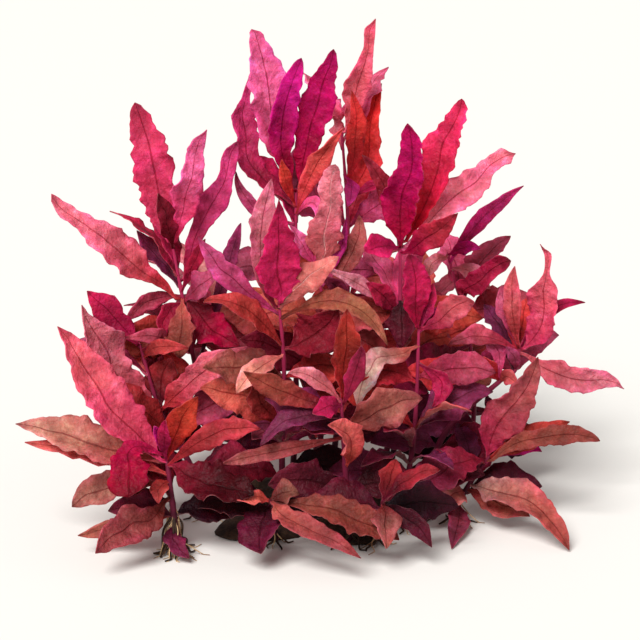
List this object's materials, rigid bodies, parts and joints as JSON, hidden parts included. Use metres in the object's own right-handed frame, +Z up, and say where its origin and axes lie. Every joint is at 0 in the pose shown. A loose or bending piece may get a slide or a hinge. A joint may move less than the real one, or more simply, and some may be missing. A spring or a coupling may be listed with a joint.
{
  "type": "red-leaved aquarium plant",
  "caption": "Bushy clump of a red water plant: upright leafy shoots with wavy lance-shaped leaves on one flat-cut root crown, standing free.",
  "frame": {"origin": "on the flat cut under the middle of the root crown", "axes": "+Z up, -Y the front of the clump, +X to its right as seen from the front"},
  "size_m": [0.2912, 0.2379, 0.2355],
  "materials": {
    "leaf_magenta": "satin, young hot magenta leaf",
    "leaf_crimson": "satin, deep crimson leaf",
    "leaf_pink": "satin, bright pink-red leaf",
    "leaf_coral": "satin, coral red leaf",
    "leaf_salmon": "satin, pale salmon leaf",
    "leaf_bronze": "satin, olive bronze leaf",
    "leaf_rust": "satin, rusty brown-red leaf",
    "leaf_maroon": "satin, very dark maroon leaf",
    "stem": "waxy satin, dark purple-brown stems",
    "root": "matt, dark brown matted roots"
  },
  "bodies": {
    "root": {"back_centre_shoot": "stem", "back_left_shoot": "stem", "back_right_shoot": "stem", "centre_front_leaf_1": "leaf_coral", "centre_front_shoot": "stem", "centre_leaf_1": "leaf_crimson", "centre_leaf_2": "leaf_coral", "centre_leaf_3": "leaf_maroon", "centre_shoot": "stem", "far_right_leaf_1": "leaf_pink", "far_right_leaf_2": "leaf_pink", "far_right_shoot": "stem", "front_right_shoot": "stem", "left_middle_leaf_1": "leaf_pink", "left_middle_leaf_2": "leaf_coral", "left_middle_shoot": "stem", "lower_centre_leaf_1": "leaf_coral", "lower_centre_leaf_2": "leaf_rust", "lower_centre_shoot": "stem", "lower_left_leaf_1": "leaf_pink", "lower_left_leaf_2": "leaf_coral", "lower_left_leaf_3": "leaf_magenta", "lower_left_leaf_4": "leaf_rust", "lower_left_leaf_5": "leaf_maroon", "lower_left_shoot": "stem", "lower_right_leaf_1": "leaf_coral", "lower_right_leaf_2": "leaf_bronze", "lower_right_leaf_3": "leaf_coral", "lower_right_leaf_4": "leaf_maroon", "lower_right_shoot": "stem", "middle_leaf_1": "leaf_salmon", "middle_shoot": "stem", "right_back_leaf_1": "leaf_crimson", "right_back_leaf_2": "leaf_maroon", "right_back_shoot": "stem", "right_centre_leaf_1": "leaf_crimson", "right_centre_leaf_2": "leaf_pink", "right_centre_leaf_3": "leaf_pink", "right_centre_leaf_4": "leaf_magenta", "right_centre_shoot": "stem", "right_front_leaf_1": "leaf_magenta", "right_front_leaf_2": "leaf_salmon", "right_front_leaf_3": "leaf_coral", "right_front_shoot": "stem", "root_crown": "root", "tall_back_leaf_1": "leaf_pink", "tall_back_leaf_2": "leaf_rust", "tall_back_shoot": "stem", "top_centre_leaf_1": "leaf_pink", "top_centre_leaf_2": "leaf_magenta", "top_centre_leaf_3": "leaf_magenta", "top_centre_leaf_4": "leaf_crimson", "top_centre_shoot": "stem", "upper_left_leaf_1": "leaf_crimson", "upper_left_leaf_2": "leaf_pink", "upper_left_leaf_3": "leaf_pink", "upper_left_leaf_4": "leaf_crimson", "upper_left_leaf_5": "leaf_coral", "upper_left_leaf_6": "leaf_crimson", "upper_left_shoot": "stem"}
  },
  "joints": []
}
